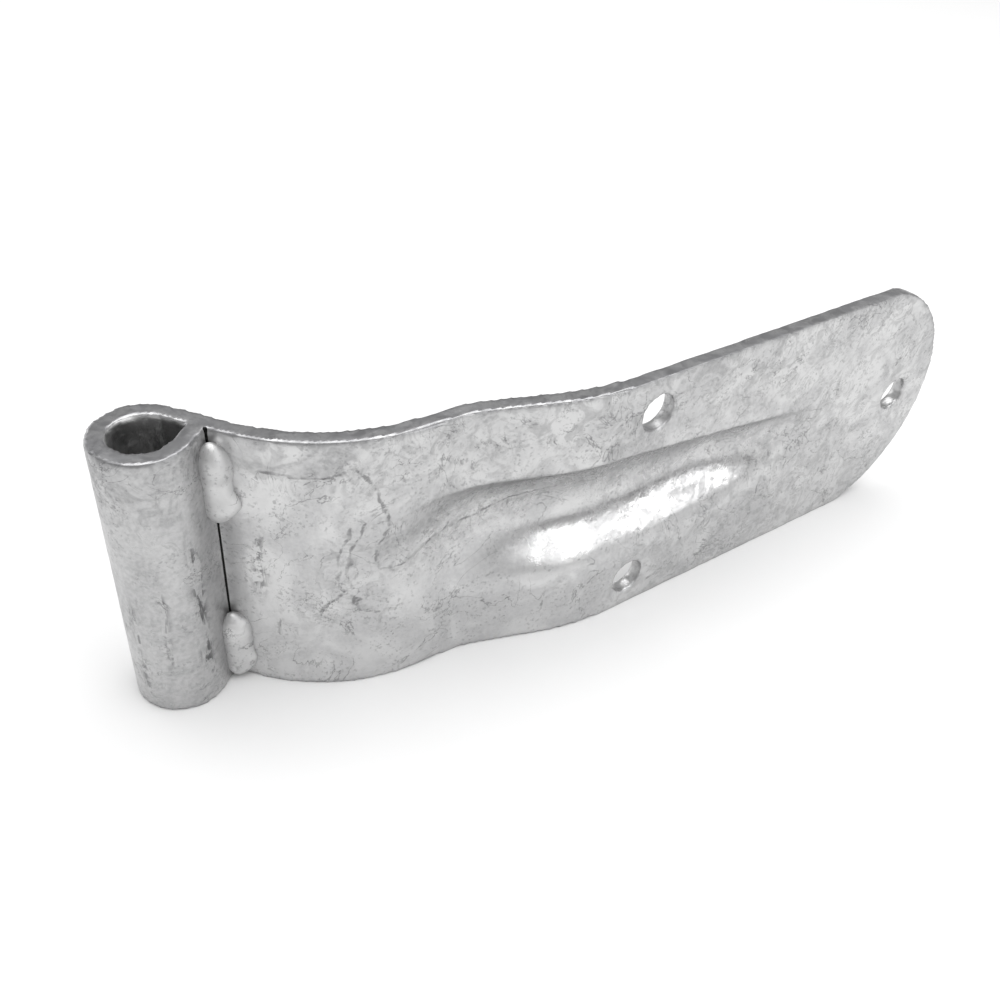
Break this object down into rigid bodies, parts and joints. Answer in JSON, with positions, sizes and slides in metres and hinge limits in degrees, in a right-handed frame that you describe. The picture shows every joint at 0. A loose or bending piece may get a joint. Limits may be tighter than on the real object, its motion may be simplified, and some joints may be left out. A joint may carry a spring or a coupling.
{
  "type": "strap hinge",
  "caption": "Bent steel strap hinge with a rolled and welded pin eye, a pressed stiffening rib and bolt holes in its rounded flat.",
  "frame": {"origin": "on the eye's bore axis, at the strap's mid height", "axes": "+Z along the bore, +X along the bolted flat from the eye to the rounded tip, +Y to the side that the rib stands out on"},
  "size_m": [0.2479, 0.0503, 0.076],
  "materials": {
    "galvanised_plate": "hot-dip galvanised, dull grey with mottled zinc patches, runs and scratches",
    "galvanised_weld": "hot-dip galvanised weld bead, rippled and a little brighter than the plate"
  },
  "bodies": {
    "root": {"strap": "galvanised_plate", "weld_bead_upper": "galvanised_weld", "weld_bead_lower": "galvanised_weld"}
  },
  "joints": []
}
